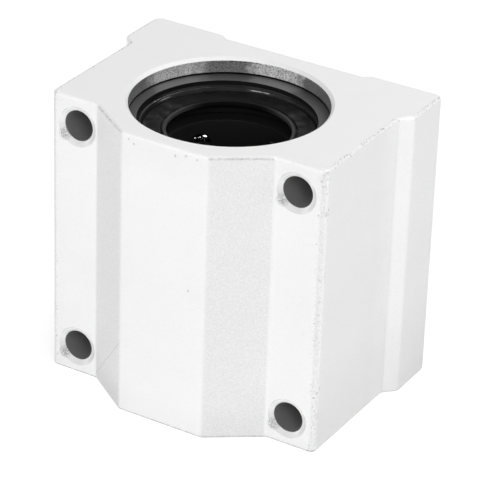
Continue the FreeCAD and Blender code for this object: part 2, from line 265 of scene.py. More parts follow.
@dataclass(frozen=True)
class Spot:
    """The point that is shaded, in the block's own frame."""

    graph: Graph
    place: Signal
    middle: float = 1.0 * MM
    lean_turn: float = 27.0

    @cached_property
    def axes(self) -> tuple[Signal, Signal, Signal]:
        """The point's three coordinates."""
        parts = self.graph.node("ShaderNodeSeparateXYZ", {0: self.place}).outputs
        return tuple(Signal(self.graph, part) for part in parts)

    @cached_property
    def x(self) -> Signal:
        """Its place across the block."""
        return self.axes[0]

    @cached_property
    def y(self) -> Signal:
        """Its place from the crowned side to the mounting face."""
        return self.axes[1]

    @cached_property
    def z(self) -> Signal:
        """Its place along the bore."""
        return self.axes[2]

    @cached_property
    def across(self) -> Signal:
        """Its distance from the middle plane between the sides."""
        return abs(self.x)

    @cached_property
    def end(self) -> Signal:
        """Its distance from mid length."""
        return abs(self.z)

    @cached_property
    def radius(self) -> Signal:
        """Its distance from the bore's axis."""
        return hypotenuse(self.x, self.y)

    @cached_property
    def angle(self) -> Signal:
        """Its angle round the bore."""
        return self.graph.math(Op.ARCTAN2, self.y, self.x)

    @cached_property
    def lean(self) -> Signal:
        """How far round the bore it lies towards one side: 1 there, -1 opposite and 0 between."""
        turn = math.radians(self.lean_turn)
        return (self.x * math.cos(turn) + self.y * math.sin(turn)) / self.radius

    def halves(self, left: Value, right: Value) -> Signal:
        """One value on the left half and another on the right one."""
        return self.x.ramp(-self.middle, self.middle, left, right)

    def ends(self, foot: Value, top: Value) -> Signal:
        """One value on the lower half and another on the upper one."""
        return self.z.ramp(-self.middle, self.middle, foot, top)

    def noise(self, size: Value, detail: float = 2.0, roughness: float = 0.5) -> Signal:
        """Noise from 0 to 1.

        Args:
            size: About how big its features are.
            detail: How many finer layers it has.
            roughness: How strong the finer layers are.

        Returns:
            The noise.
        """
        feeds = {"Vector": self.place, "Scale": 1.0 / size, "Detail": detail, "Roughness": roughness}
        return self.graph.read("ShaderNodeTexNoise", "Fac", feeds)

    def effect(self, effect: Callable[[], NodeTree], **inputs: Value) -> dict[str, Signal]:
        """Places the node group of a shared effect, which is built at its first use only.

        Args:
            effect: What builds the effect.
            **inputs: Values by input name, with underscores for spaces.

        Returns:
            The effect's outputs by name.
        """
        feeds = {name.replace("_", " "): value for name, value in inputs.items()}
        made = self.graph.node("ShaderNodeGroup", {"Vector": self.place, **feeds}, node_tree=effect())
        return {socket.name: Signal(self.graph, socket) for socket in made.outputs}


class EffectGraph(Graph):
    """The graph of a shared effect, which has inputs and outputs of its own."""

    def __init__(self, name: str, inputs: tuple[str, ...], outputs: tuple[str, ...]) -> None:
        """Makes the node group.

        Args:
            name: The group's name.
            inputs: The inputs' names, beside Vector, which is always there.
            outputs: The outputs' names.
        """
        super().__init__(bpy.data.node_groups.new(name, "ShaderNodeTree"))
        for way, titles in (("INPUT", ("Vector", *inputs)), ("OUTPUT", outputs)):
            for title in titles:
                kind = "Vector" if title in ("Vector", "Normal") else "Float"
                self.tree.interface.new_socket(name=title, in_out=way, socket_type=f"NodeSocket{kind}")
        self.entry = {socket.name: Signal(self, socket) for socket in self.node("NodeGroupInput", {}).outputs}
        self.spot = Spot(self, self.entry["Vector"])

    def finish(self, **results: Signal) -> NodeTree:
        """Feeds the group's outputs by name and gives its tree."""
        self.node("NodeGroupOutput", results)
        return self.tree


@cache
def edge_effect() -> NodeTree:
    """Edge wear: where a corner is near, broken up by noise, and the normal that rounds the corner.

    Returns:
        The node group, with the outputs Mask and Normal.
    """
    group = EffectGraph("edge_wear", ("Radius", "Break Up"), ("Mask", "Normal"))
    rounded = group.read("ShaderNodeBevel", 0, {"Radius": group.entry["Radius"]}, samples=6)
    flat = group.read("ShaderNodeNewGeometry", "Normal", {})
    alike = group.read("ShaderNodeVectorMath", "Value", {0: rounded, 1: flat}, operation="DOT_PRODUCT")
    patchy = group.spot.noise(0.8 * MM, 3.0, 0.6)
    near = alike.ramp(0.995, 0.9)
    return group.finish(Mask=near * ~(group.entry["Break Up"] * patchy), Normal=rounded)


@cache
def grain_effect() -> NodeTree:
    """Grain: fine pits on soft unevenness, as a shade around 1 and a height.

    Returns:
        The node group, with the outputs Shade and Height.
    """
    group = EffectGraph("grain", ("Depth", "Cloud"), ("Shade", "Height"))
    fine = group.spot.noise(0.16 * MM, 3.0, 0.7)
    broad = group.spot.noise(5.0 * MM, 3.0)
    speckle = (fine - 0.5) * group.entry["Depth"]
    cloud = (broad - 0.5) * group.entry["Cloud"]
    return group.finish(Shade=speckle + cloud + 1.0, Height=fine)


@cache
def turning_effect() -> NodeTree:
    """Turning marks: fine uneven lines that lie side by side along one direction.

    Returns:
        The node group, with the outputs Shade and Height.
    """
    group = EffectGraph("turning_marks", ("Along", "Pitch", "Depth"), ("Shade", "Height"))
    drift = group.spot.noise(4.0 * MM) * (0.15 * MM)
    feeds = {"W": (group.entry["Along"] + drift) / group.entry["Pitch"], "Scale": 1.0, "Detail": 3.0}
    lines = group.read("ShaderNodeTexNoise", "Fac", feeds, noise_dimensions="1D")
    return group.finish(Shade=(lines - 0.5) * group.entry["Depth"] + 1.0, Height=lines)


@cache
def dust_effect() -> NodeTree:
    """Dust: thin pale patches with a few brighter grains in them.

    Returns:
        The node group, with the output Mask.
    """
    group = EffectGraph("dust", ("Patch", "Amount"), ("Mask",))
    film = group.spot.noise(group.entry["Patch"], 4.0).ramp(0.42, 0.75)
    grains = group.spot.noise(0.12 * MM, 1.0).ramp(0.62, 0.75)
    return group.finish(Mask=(film + grains) * 0.6 * group.entry["Amount"])


@cache
def sheen_effect() -> NodeTree:
    """Painted sheen: brighter streaks in two directions round the bore, where a turned ring would catch the
    light.

    Returns:
        The node group, with the output Shade.
    """
    group = EffectGraph("painted_sheen", ("Gain",), ("Shade",))
    # Painted sheen: a brightening by angle round the bore that stands in for light on turned metal.
    ragged = group.spot.angle + (group.spot.noise(1.5 * MM) - 0.5) * 0.25
    spans = ((75.0, 108.0, 5.0), (138.0, 173.0, 7.0), (-105.0, -72.0, 5.0), (-42.0, -7.0, 7.0))
    shine = sum(ragged.sector(*span) for span in spans)
    return group.finish(Shade=shine * (group.entry["Gain"] - 1.0) + 1.0)


@cache
def side_effect() -> NodeTree:
    """Sides: the parts of a ring round the bore that lie towards one direction and its opposite."""
    group = EffectGraph("ring_sides", ("Low", "High"), ("Mask",))
    return group.finish(Mask=abs(group.spot.lean).ramp(group.entry["Low"], group.entry["High"]))


class Shader:
    """One material's Principled shader, with its graph and the point that it shades."""

    def __init__(self, name: str, specular: float = 0.5) -> None:
        """Makes the material.

        Args:
            name: The material's name.
            specular: The shader's specular level.
        """
        self.material = bpy.data.materials.new(name)
        self.material.use_nodes = True
        self.graph = Graph(self.material.node_tree)
        self.principled = self.material.node_tree.nodes["Principled BSDF"]
        self.set(Specular_IOR_Level=specular)

    @cached_property
    def spot(self) -> Spot:
        """The point that is shaded."""
        return Spot(self.graph, self.graph.read("ShaderNodeTexCoord", "Object", {}))

    def set(self, **inputs: object) -> None:
        """Feeds inputs of the Principled shader by name, with underscores for spaces."""
        for name, value in inputs.items():
            self.graph.feed(self.principled.inputs[name.replace("_", " ")], value)

    def bump(self, height: Signal, depth: float, normal: Signal) -> None:
        """Drives the normal from a height.

        Args:
            height: The height, from 0 to 1.
            depth: What a height of 1 stands for.
            normal: The normal that the bump starts from.
        """
        feeds = {"Strength": 1.0, "Distance": depth, "Height": height, "Normal": normal}
        self.set(Normal=self.graph.read("ShaderNodeBump", 0, feeds))


@dataclass(frozen=True)
class BlockSizes:
    """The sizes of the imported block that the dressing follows."""

    half_length: float
    mount_y: float
    shoulder_y: float
    seat_radius: float
    sleeve_end: float
    shaft_radius: float
    hole_spacing: float
    thread_radius: float
    drill_radius: float

    @classmethod
    def from_frame(cls, record: dict) -> "BlockSizes":
        """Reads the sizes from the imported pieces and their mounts.

        Args:
            record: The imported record.

        Returns:
            The sizes.
        """
        mounts = {mount["name"]: mount for mount in record["mounts"]}
        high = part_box("housing")[1]
        sleeve_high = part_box("bearing_sleeve")[1]
        tapped = mounts["tapped_holes"]["dims"]
        screws = mounts["screw_holes"]
        return cls(
            half_length=high.z,
            mount_y=high.y,
            shoulder_y=screws["pos_m"][1],
            seat_radius=sleeve_high.x,
            sleeve_end=sleeve_high.z,
            shaft_radius=mounts["shaft_bore"]["dims"]["r_mm"] * MM,
            hole_spacing=tapped["spacing_x_mm"] * MM,
            thread_radius=tapped["hole_r_mm"] * MM,
            drill_radius=screws["dims"]["hole_r_mm"] * MM,
        )


@dataclass(frozen=True, kw_only=True)
class Faces(Spot):
    """A point of the housing, with masks that are 1 on one kind of its faces and edges."""

    sizes: BlockSizes
    mouth_chamfer: float = 0.5 * MM
    groove_depth: float = 1.0 * MM
    corner_rounding: float = 1.1 * MM
    half_width: float = 25.0 * MM
    crown_half: float = 7.8 * MM
    flange_front: float = 11.4 * MM
    flare: float = 2.0 * MM
    soft: float = 0.02 * MM

    @cached_property
    def depth(self) -> Signal:
        """How far the point lies in from the nearer end face."""
        return self.sizes.half_length - self.end

    @cached_property
    def behind(self) -> Signal:
        """How far the point lies behind the shoulders."""
        return self.y - self.sizes.shoulder_y

    @cached_property
    def inset(self) -> Signal:
        """How far the point lies in from the outline of the sides and the flange.

        Returns:
            The distance, which is negative outside it.
        """
        wide = self.half_width + self.flare
        outline = self.y.ramp(self.flange_front - self.flare, self.flange_front, self.half_width, wide)
        return outline - self.across

    @cached_property
    def flat(self) -> Signal:
        """The flat of both end faces."""
        return self.depth.ramp(1.5 * self.soft, 0.5 * self.soft)

    @cached_property
    def beside(self) -> Signal:
        """All that lies behind the rounded corners of the shoulders."""
        return self.behind > 0.8 * MM

    @cached_property
    def rim(self) -> Signal:
        """The part of the rounded edges round both end faces that is darkened, partly as wear with nicks and
        partly as painted shade: low on the front, high on the sides.

        Returns:
            The mask.
        """
        front = self.depth.ramp(0.08 * MM, 0.3 * MM) * self.depth.ramp(0.66 * MM, 0.28 * MM)
        high = self.inset.ramp(0.6 * MM, 0.42 * MM) * self.depth.ramp(0.26 * MM, 0.06 * MM) * 0.95
        side = self.inset.ramp(0.8 * MM, 0.65 * MM) * self.beside
        outer = self.radius > self.sizes.seat_radius + 2 * self.mouth_chamfer
        return (front * ~side + high * side) * outer

    @cached_property
    def corner(self) -> Signal:
        """The rounded corners between the shoulders and the sides.

        Returns:
            The mask.
        """
        wide = 1.3 * self.corner_rounding
        side = self.across.ramp(self.half_width - wide, self.half_width - self.corner_rounding)
        return side * self.behind.ramp(wide, self.corner_rounding)

    @cached_property
    def side_edge(self) -> Signal:
        """The strips on both sides of the edges between the sides and the end faces."""
        return self.inset.ramp(0.9 * MM, 0.4 * MM) * self.depth.ramp(0.9 * MM, 0.4 * MM)

    @cached_property
    def slope(self) -> Signal:
        """The tapered faces between the sides and the flange."""
        outer = self.across.ramp(self.half_width + 0.05 * MM, self.half_width + 0.25 * MM)
        return outer * (self.y < self.flange_front)

    @cached_property
    def slant(self) -> Signal:
        """The two slanted faces that lead from the crown down to the shoulders."""
        beside = self.across.ramp(self.crown_half - 0.4 * MM, self.crown_half + 0.5 * MM)
        return beside * self.behind.ramp(-0.05 * MM, -0.3 * MM) * ~self.flat

    @cached_property
    def bore(self) -> Signal:
        """The bore's wall and grooves, short of the chamfers at the mouths."""
        near = self.radius < self.sizes.seat_radius + self.groove_depth
        return near * (self.depth > self.mouth_chamfer)


@dataclass(frozen=True)
class BoreWall:
    """The bored wall: fine sparkle, painted sheen of turning marks, and a near-black painted shadow in the
    circlip grooves and along their edges.
    """

    faces: Faces
    groove_edge: float
    tint: Colour = (0.22, 0.22, 0.22)
    # Near-black painted shadow for the grooves and a thin line along their edges; the burr line uses the same
    # dark.
    groove_shadow_and_burr: Colour = (0.008, 0.008, 0.008)
    sheen_gain: float = 3.1
    edge_line: float = 0.06 * MM
    burr_span: tuple[float, float, float] = (104.0, 121.0, 2.0)

    def colour(self) -> Signal:
        """The wall's colour.

        Returns:
            The colour.
        """
        faces = self.faces
        sparkle = faces.noise(0.22 * MM, 2.0, 0.7).ramp(0.34, 0.66, 0.6, 1.45)
        # Painted sheen: brighter fans round the bore.
        sheen = faces.effect(sheen_effect, Gain=self.sheen_gain)["Shade"]
        # Painted shadow: the grooves and a thin line at their edge get the near-black colour.
        cut = faces.radius > faces.sizes.seat_radius + self.edge_line
        beside = faces.end < self.groove_edge + self.edge_line
        wall = faces.graph.shaded(self.tint, sparkle * sheen)
        return faces.graph.blend(cut | beside | self.burr(), wall, self.groove_shadow_and_burr)

    def burr(self) -> Signal:
        """The ragged dark line that a burr leaves along part of the mouth."""
        ragged = self.faces.noise(0.5 * MM, 3.0, 0.6).ramp(0.38, 0.55) * 0.85
        return self.faces.angle.sector(*self.burr_span) * self.faces.depth.ramp(0.85 * MM, 0.55 * MM) * ragged


@dataclass(frozen=True)
class ScrewHoles:
    """The screw holes: walls in painted shade, a countersink with painted shade and light, and a mottled
    darker patch beside each mouth.
    """

    faces: Faces
    # The walls' dark colour is painted shade inside the holes.
    wall: Colour = (0.3, 0.3, 0.3)
    sink_depth: float = 0.45 * MM
    sink_width: float = 0.8 * MM
    tap_chamfer: float = 0.4 * MM
    play: float = 0.01 * MM
    # Painted shade and light on the countersink by which way it faces, with painted shade arcs and crescent.
    lower_shade: Fade = Fade(-0.85, -0.2, 0.77, 1.0)
    upper_shade: Fade = Fade(0.0, 0.7, 1.0, 1.09)
    inner_arc: tuple[float, float] = (0.2 * MM, 0.3 * MM)
    outer_arc: tuple[float, float] = (-0.12 * MM, 0.02 * MM)
    arc_soft: float = 0.06 * MM
    arc_shade: float = 0.76
    crescent_depth: float = 0.16
    dark_patch_place: tuple[float, float] = (-2.45 * MM, -1.9 * MM)
    dark_patch_fade: Fade = Fade(1.35 * MM, 0.5 * MM, 0.0, 0.9)
    dark_patch_reach: float = 6.0 * MM

    @cached_property
    def offsets(self) -> tuple[Signal, Signal]:
        """How far the point is from the nearest hole's axis, across the block and along it.

        Returns:
            Both distances, with their signs.
        """
        half = self.faces.sizes.hole_spacing / 2
        signs = (self.faces.graph.math(Op.SIGN, part) for part in (self.faces.x, self.faces.z))
        return tuple(part - sign * half for part, sign in zip((self.faces.x, self.faces.z), signs))

    @cached_property
    def away(self) -> Signal:
        """How far the point is from the nearest hole's axis in all."""
        return hypotenuse(*self.offsets)

    @cached_property
    def inside(self) -> Signal:
        """Where the walls are, short of the chamfers at the mouths.

        Returns:
            The mask.
        """
        sizes = self.faces.sizes
        near = self.away < sizes.thread_radius + 2 * self.play
        past_sink = self.faces.behind > self.sink_depth - self.play
        return near * past_sink * (self.faces.y < sizes.mount_y - self.tap_chamfer + self.play)

    def front(self, reach: float) -> Signal:
        """Where the shoulders and countersinks are, within a distance of a hole's axis."""
        return (self.away < reach) * (self.faces.behind < self.sink_depth)

    def sink_shade(self) -> Signal:
        """The countersink's painted shade and light: darker where it faces up, lighter where it faces down,
        with two painted shade arcs along its edges on the upper side and a painted shade crescent on one
        side.

        Returns:
            The shade, which is 1 away from the countersinks.
        """
        across, along = self.offsets
        drill = self.faces.sizes.drill_radius
        rim = drill + self.sink_width
        turn, lift = across / self.away, along / self.away
        lean = lift * 0.85 + turn * 0.5
        leaning = lean.ramp(*self.lower_shade) * lean.ramp(*self.upper_shade)
        inner = (self.away - drill).band(*self.inner_arc, self.arc_soft)
        outer = (self.away - rim).band(*self.outer_arc, self.arc_soft)
        uneven = self.faces.noise(1.2 * MM).ramp(0.35, 0.6, 0.5, 1.0)
        arcs = (inner | outer) * lean.ramp(-0.3, 0.3) * uneven
        wide = (self.away - drill).ramp(0.2 * MM, 0.4 * MM)
        crescent = turn.ramp(0.35, 0.75) * lift.band(-0.8, 0.5, 0.15) * wide * self.crescent_depth
        return self.front(rim + 0.1 * MM).pick(1.0, leaning * arcs.pick(1.0, self.arc_shade) * ~crescent)

    def dark_patch(self) -> Signal:
        """A mottled darker patch beside each hole on the shoulders, down and to the left of it.

        Returns:
            The mask, which also says how strong it is.
        """
        shifted = [part - centre for part, centre in zip(self.offsets, self.dark_patch_place)]
        mottle = self.faces.noise(0.26 * MM, 2.0, 0.6).ramp(0.33, 0.62)
        return hypotenuse(*shifted).ramp(*self.dark_patch_fade) * mottle * self.front(self.dark_patch_reach)


@dataclass(frozen=True)
class Blasting(Faces):
    """The housing's faces as the blasting and some use left them, with painted shade and light on faces,
    edges and corners: their shades and their marks.

    Of two values for rims, the first is the foot's and the second the top's. Of two for the slants, the
    first is the left one's and the second the right one's.
    """

    # Edge darkening by face: partly wear, partly painted shade; the larger foot values paint shade on the
    # lower edges, which face down.
    front_rims: tuple[float, float] = (0.33, 0.005)
    side_rims: tuple[float, float] = (0.33, 0.1)
    left_rims: tuple[float, float] = (0.18, 0.13)
    right_rims: tuple[float, float] = (0.25, 0.27)
    # Painted shade and painted highlight lines across the rounded corners.
    corner_painted_shade: float = 0.93
    corner_painted_highlight: float = 1.055
    shade_line: tuple[float, float, float] = (24.15 * MM, 24.55 * MM, 0.12 * MM)
    highlight_line: tuple[float, float, float] = (0.5 * MM, 1.0 * MM, 0.12 * MM)
    side_mottle: Fade = Fade(24.6 * MM, 24.9 * MM, 0.012, 0.02)
    slant_mottle: tuple[float, float] = (0.0405, 0.045)
    corner_mottle: float = 0.065
    crown_mottle: float = 0.012
    crown_patch_x: tuple[float, float, float] = (5.4 * MM, 7.2 * MM, 0.6 * MM)
    crown_patch_z: tuple[float, float, float] = (-8.0 * MM, 13.0 * MM, 3.0 * MM)
    # Painted shade and light on the sides and the flange, set by place on the block.
    side_top: Fade = Fade(10.0 * MM, -5.0 * MM, 1.042, 1.012)
    side_foot: Fade = Fade(-6.0 * MM, -25.0 * MM, 1.0, 0.885)
    flange_foot: Fade = Fade(10.0 * MM, 12.0 * MM, 1.0, 0.95)
    flange_tail: tuple[float, float] = (-19.0 * MM, -24.5 * MM)
    side_back: Fade = Fade(3.0 * MM, 9.0 * MM, 0.0, 0.042)
    slope_gain: float = 0.045
    # Painted shade and light on the crown, slants and shoulders, by face and by height.
    front_low: Fade = Fade(0.0, -15.0 * MM, 1.0, 1.018)
    front_top: float = 0.975
    front_head: tuple[float, float] = (17.0 * MM, 24.5 * MM)
    front_foot: float = 0.965
    front_tail: tuple[float, float] = (-18.0 * MM, -24.5 * MM)
    right_shoulder: Fade = Fade(15.5 * MM, 17.0 * MM, 1.0, 0.977)
    left_slant: Fade = Fade(13.0 * MM, 24.0 * MM, 0.94, 0.976)
    right_slant: float = 0.924
    slant_feet: tuple[float, float] = (0.87, 0.93)
    slant_line_start: tuple[float, float] = (-15.8 * MM, -23.4 * MM)
    slant_line_slope: float = 1.37
    slant_line_fade: Fade = Fade(0.2 * MM, 0.05 * MM, 0.0, 0.22)
    nick: Fade = Fade(0.68, 0.82, 0.0, 0.7)
    dent: Fade = Fade(0.55 * MM, 0.28 * MM, 0.0, 0.5)
    dents: tuple[tuple[float, float], ...] = (
        (4.85 * MM, 1.0 * MM), (-6.4 * MM, 24.1 * MM), (-5.5 * MM, 23.5 * MM),
        (2.0 * MM, 23.6 * MM), (3.9 * MM, 24.1 * MM), (5.9 * MM, 24.0 * MM), (24.2 * MM, 23.2 * MM),
    )

    def shade(self) -> Signal:
        """All the shades together, around 1, painted shade and light among them."""
        return self.side_shade() * self.front_shade() * self.corner_shade() * self.mottle() * self.rim_shade()

    def mottle(self) -> Signal:
        """The blasted skin's fine mottling, strongest on the slants, corners and sides.

        Returns:
            The shade.
        """
        pits = self.noise(0.24 * MM, 2.0, 0.6).ramp(0.3, 0.7, -1.0, 1.0)
        rough = self.slant * self.halves(*self.slant_mottle) | self.corner * self.corner_mottle
        patch = self.x.band(*self.crown_patch_x) * self.z.band(*self.crown_patch_z)
        depth = self.across.ramp(*self.side_mottle) + rough + patch * self.crown_mottle
        return pits * depth * self.flat.pick(1.0, 0.4) + 1.0

    def rim_shade(self) -> Signal:
        """The rounded end edges made darker, unevenly, and each face's by its own amount: partly wear, and
        partly painted shade, most of all on the lower edges at the front and sides.

        Returns:
            The shade, which is 1 elsewhere.
        """
        uneven = self.noise(0.45 * MM, 3.0, 0.6).ramp(0.36, 0.64, 0.6, 1.4)
        slants = self.halves(self.ends(*self.left_rims), self.ends(*self.right_rims))
        front = self.slant.pick(self.ends(*self.front_rims), slants)
        return ~(self.rim * uneven * self.beside.pick(front, self.ends(*self.side_rims)))

    def corner_shade(self) -> Signal:
        """The rounded corners: a painted shade line towards the shoulder and a painted highlight line towards
        the side.

        Returns:
            The shade, which is 1 elsewhere.
        """
        shade_band = self.corner * self.across.band(*self.shade_line)
        highlight_band = self.corner * self.behind.band(*self.highlight_line)
        return shade_band.pick(1.0, self.corner_painted_shade) * highlight_band.pick(1.0, self.corner_painted_highlight)

    def side_shade(self) -> Signal:
        """The sides' and the flange's painted shade and light: darker towards the block's foot, lighter
        towards the back and on the tapered faces.

        Returns:
            The shade, which is 1 elsewhere.
        """
        outer = self.across.ramp(self.half_width - 0.3 * MM, self.half_width - 0.1 * MM) * ~self.flat
        tail = self.z.ramp(*self.flange_tail, 1.0, self.y.ramp(*self.flange_foot))
        fading = self.z.ramp(*self.side_top) * self.z.ramp(*self.side_foot) * tail
        back = self.y.ramp(*self.side_back) * (self.across < self.half_width + self.soft)
        return outer.pick(1.0, fading * (back + self.slope * self.slope_gain + 1.0))

    def front_shade(self) -> Signal:
        """The painted shade and light of the crown, the slants and the shoulders from top to foot, with each
        slant and the right shoulder by its own amount.

        Returns:
            The shade, which is 1 elsewhere.
        """
        front = (self.behind < 0.5 * MM) * self.depth.ramp(0.1 * MM, 0.45 * MM)
        top = self.z.ramp(*self.front_head, 1.0, self.slant.pick(self.front_top, 1.0))
        lowest = self.slant.pick(self.front_foot, self.halves(*self.slant_feet))
        foot = self.z.ramp(*self.front_tail, 1.0, lowest)
        shade = top * foot * self.z.ramp(*self.front_low) * self.x.ramp(*self.right_shoulder)
        slants = self.slant.pick(1.0, self.halves(self.z.ramp(*self.left_slant), self.right_slant))
        return slants * front.pick(1.0, shade)

    def marks(self) -> Signal:
        """Small dark nicks along the edges, a few dents on the faces and one long thin dark line.

        Returns:
            The mask, which also says how strong they are.
        """
        fine = self.noise(0.38 * MM, 3.0, 0.6)
        patches = self.noise(4.0 * MM, 1.0).ramp(0.4, 0.6, 0.0, 0.1)
        knocked = (self.rim * self.slant | self.side_edge) * self.ends(0.0, 0.125)
        busy = self.rim * patches + knocked | self.corner * patches * 1.25
        return (busy + fine).ramp(*self.nick) | self.dented(fine) | self.slant_line()

    def dented(self, fine: Signal) -> Signal:
        """The few dents that lie alone on the crown and the corner.

        Args:
            fine: The fine noise that makes their outlines ragged.

        Returns:
            Their mask.
        """
        closest: Value = 1.0
        for x, z in self.dents:
            closest = self.graph.math(Op.MINIMUM, closest, hypotenuse(self.x - x, self.z - z))
        ragged = closest + fine * (0.5 * MM)
        return ragged.ramp(*self.dent) * (self.behind < 1.0 * MM)

    def slant_line(self) -> Signal:
        """The thin dark line low on one slant.

        Returns:
            The mask, which also says how strong it is.
        """
        x, z = self.slant_line_start
        wander = (self.noise(5.0 * MM, 1.0) - 0.5) * (1.2 * MM)
        off = abs(self.z - z - (self.x - x) * self.slant_line_slope + wander)
        return off.ramp(*self.slant_line_fade) * self.slant * (self.x < 0.0)


@dataclass(frozen=True)
class BlastedAluminium:
    """Fine blasted, clear anodised aluminium, with machined walls in the bore and the screw holes."""

    sizes: BlockSizes
    groove_edge: float
    outside: Colour = (0.87, 0.87, 0.87)
    mark: Colour = (0.33, 0.33, 0.33)
    metallic: float = 0.35
    roughness: float = 0.65
    wall_roughness: float = 0.42
    bump_depth: float = 0.012 * MM

    def material(self) -> Material:
        """Makes the material.

        Returns:
            The material.
        """
        shader = Shader("blasted_aluminium")
        graph = shader.graph
        faces = Blasting(graph, shader.spot.place, sizes=self.sizes)
        holes = ScrewHoles(faces)
        grain = faces.effect(grain_effect, Depth=faces.flat.pick(0.16, 0.05), Cloud=0.03)
        edges = faces.effect(edge_effect, Radius=0.2 * MM, Break_Up=0.6)
        marks = faces.marks()
        shade = grain["Shade"] * faces.shade() * holes.sink_shade()
        skin = graph.blend(marks | holes.dark_patch(), graph.shaded(self.outside, shade), self.mark)
        walls = graph.blend(faces.bore, skin, BoreWall(faces, self.groove_edge).colour())
        # Hole walls: dark, as painted shade inside the holes.
        colour = graph.blend(holes.inside, walls, graph.shaded(holes.wall, grain["Shade"]))
        roughness = (faces.bore | holes.inside).pick(self.roughness, self.wall_roughness)
        shader.set(Base_Color=colour, Roughness=roughness, Metallic=self.metallic)
        knocks = (faces.noise(0.5 * MM, 3.0, 0.6) - 0.5) * (faces.rim | faces.corner * 0.5) * 2.0
        shader.bump(grain["Height"] + knocks - marks, self.bump_depth, edges["Normal"])
        return shader.material


@dataclass(frozen=True)
class PaintedGlint:
    """A painted glint: a brighter line on a bearing part, between two angles round the bore, in degrees."""

    height: float
    reach: float
    first: float
    last: float
    share: float

    def mask(self, spot: Spot) -> Signal:
        """Where the painted glint is, from 0 to 1."""
        line = spot.end.band(self.height - self.reach, self.height + self.reach, 0.04 * MM + 0.3 * self.reach)
        return line * spot.angle.sector(self.first, self.last, 3.0) * self.share


@dataclass(frozen=True)
class TurnedSteel:
    """Steel with fine turning or grinding marks that run round the bore, with painted sheen, brighter edges,
    painted glints and painted shade at its end.
    """

    name: str
    tint: Colour
    roughness: float
    pitch: float = 0.12 * MM
    marks: float = 0.25
    metallic: float = 1.0
    sheen_gain: float = 1.0
    edge_shine: float = 0.5
    end_height: float = 1.0
    end_shade: float = 0.3
    band_shade: float = 0.2
    grain: float = 0.25
    painted_glints: tuple[PaintedGlint, ...] = ()
    glint_roughness: float = 0.75
    glint: Colour = (0.9, 0.9, 0.9)

    def material(self) -> Material:
        """Makes the material.

        Returns:
            The material.
        """
        shader = Shader(self.name)
        spot = shader.spot
        turned = spot.effect(turning_effect, Along=spot.radius + spot.z, Pitch=self.pitch, Depth=self.marks)
        grain = spot.effect(grain_effect, Depth=self.grain, Cloud=0.2)
        edges = spot.effect(edge_effect, Radius=0.08 * MM, Break_Up=0.5)
        sheen = spot.effect(sheen_effect, Gain=self.sheen_gain)["Shade"]
        lit = turned["Shade"] * grain["Shade"] * sheen + edges["Mask"] * self.edge_shine
        colour = self.edged(spot, sheen, shader.graph.shaded(self.tint, lit))
        roughness = grain["Shade"] * self.roughness
        if self.painted_glints:
            # Painted glints: brighter lines painted on the metal.
            ragged = spot.noise(0.6 * MM, 3.0, 0.6).ramp(0.34, 0.52)
            glinting = reduce(Signal.__or__, [rub_and_glint.mask(spot) for rub_and_glint in self.painted_glints]) * ragged
            colour = shader.graph.blend(glinting, colour, self.glint)
            roughness = roughness | glinting * self.glint_roughness
        shader.set(Base_Color=colour, Roughness=roughness, Metallic=self.metallic)
        shader.bump(turned["Height"], 0.004 * MM, edges["Normal"])
        return shader.material

    def edged(self, spot: Spot, sheen: Signal, colour: Signal) -> Signal:
        """Paints shade on the part's end face under the circlip, and on a band next to the end on one side,
        which also dims a reflection there.

        Args:
            spot: The point that is shaded.
            sheen: The painted sheen there, which this method does not use.
            colour: The colour so far.

        Returns:
            The darkened colour.
        """
        # Painted shade: the end face under the circlip and a band below it on one side.
        depth = self.end_height - spot.end
        under_clip_band = depth.ramp(0.6 * MM, 0.3 * MM) * spot.lean.ramp(-0.6, -0.85)
        beyond = depth.ramp(0.12 * MM, 0.04 * MM, 1.0, self.end_shade)
        return spot.graph.shaded(colour, beyond * under_clip_band.pick(1.0, self.band_shade))


@dataclass(frozen=True)
class ClipSteel(TurnedSteel):
    """Phosphated spring steel: grey on its faces, with painted shadow on the upper part of its edges and on
    the outer rim of its face, and painted shade and sheen on the lower part of its edges.
    """

    face: float = 0.0
    rim_radius: float = 0.0
    # Near-black painted shadow for the upper part of the edges and the face's outer rim.
    upper_edge_shadow: Colour = (0.006, 0.006, 0.006)
    # Lower part of the edges: dark grey, with painted sheen and with painted shade on one side.
    foot_tint: Colour = (0.035, 0.035, 0.035)
    shadow_depth: float = 0.78 * MM
    soft: float = 0.05 * MM

    def edged(self, spot: Spot, sheen: Signal, colour: Signal) -> Signal:
        """Adds the painted shadow on the upper edges and the face's outer rim, and the painted shade and
        sheen below.

        Args:
            spot: The point that is shaded.
            sheen: The painted sheen there.
            colour: The colour so far.

        Returns:
            The colour with the edges.
        """
        depth = self.face - spot.end
        # Painted shadow on the upper part of the edges; painted shade and sheen on the lower part.
        broken = depth.ramp(self.shadow_depth + self.soft, self.shadow_depth - self.soft)
        foot = spot.graph.shaded(self.foot_tint, sheen * spot.lean.ramp(-0.8, -0.9, 1.0, 0.33))
        edge = spot.graph.blend(broken, foot, self.upper_edge_shadow)
        # Painted shadow on the face's outer rim.
        return spot.graph.blend((depth < 0.04 * MM) * (spot.radius < self.rim_radius), edge, colour)


